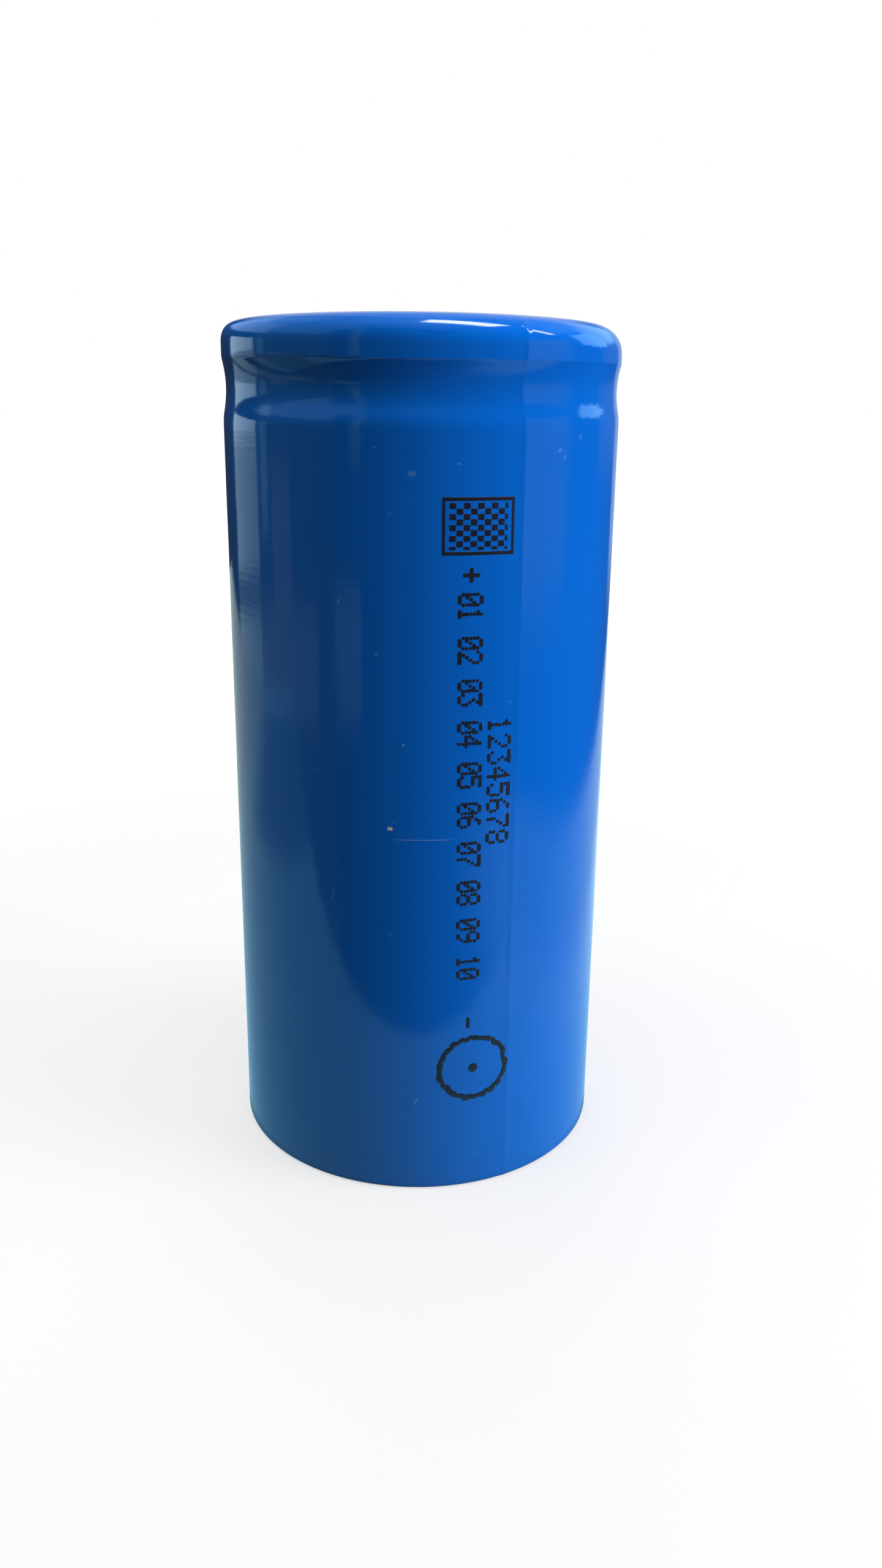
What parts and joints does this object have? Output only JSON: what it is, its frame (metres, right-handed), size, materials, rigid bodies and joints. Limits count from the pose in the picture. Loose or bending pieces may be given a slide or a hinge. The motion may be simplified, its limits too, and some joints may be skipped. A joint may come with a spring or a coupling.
{
  "type": "cylindrical battery cell",
  "caption": "Cylindrical lithium iron phosphate cell in a blue shrink sleeve, with a raised positive contact and a flat negative end.",
  "frame": {"origin": "centre of the foot, on the surface that the cell stands on", "axes": "+Z along the cell's axis towards the positive contact; the printed side faces -Y"},
  "size_m": [0.0322, 0.0322, 0.0703],
  "materials": {
    "sleeve_film": "glossy blue shrink film",
    "plated_steel": "satin nickel-plated steel",
    "fibre_board": "matt pale insulating board",
    "gasket_plastic": "satin black sealing plastic",
    "nickel_plate": "bright nickel plate",
    "aluminium_sheet": "mill-finish aluminium",
    "clear_plastic": "milky moulded plastic",
    "anode_coating": "matt graphite coating on copper foil",
    "cathode_coating": "matt black coating on aluminium foil",
    "separator_film": "satin white film",
    "amber_tape": "glossy amber tape",
    "print_ink": "thin dark dot-printed ink"
  },
  "bodies": {
    "root": {"sleeve": "sleeve_film", "can": "plated_steel", "top_insulating_ring": "fibre_board", "sealing_gasket": "gasket_plastic", "positive_cap": "nickel_plate", "vent_disc": "aluminium_sheet", "vent_insulator": "clear_plastic", "contact_disc": "aluminium_sheet", "anode_sheet": "anode_coating", "separator_inner": "separator_film", "cathode_sheet": "cathode_coating", "separator_outer": "separator_film", "closing_tape": "amber_tape", "positive_tab_1": "aluminium_sheet", "positive_tab_2": "aluminium_sheet", "positive_tab_tape_1": "amber_tape", "positive_tab_tape_2": "amber_tape", "negative_tab_1": "nickel_plate", "negative_tab_2": "nickel_plate", "top_insulator": "fibre_board", "bottom_insulator": "fibre_board"}
  },
  "joints": []
}
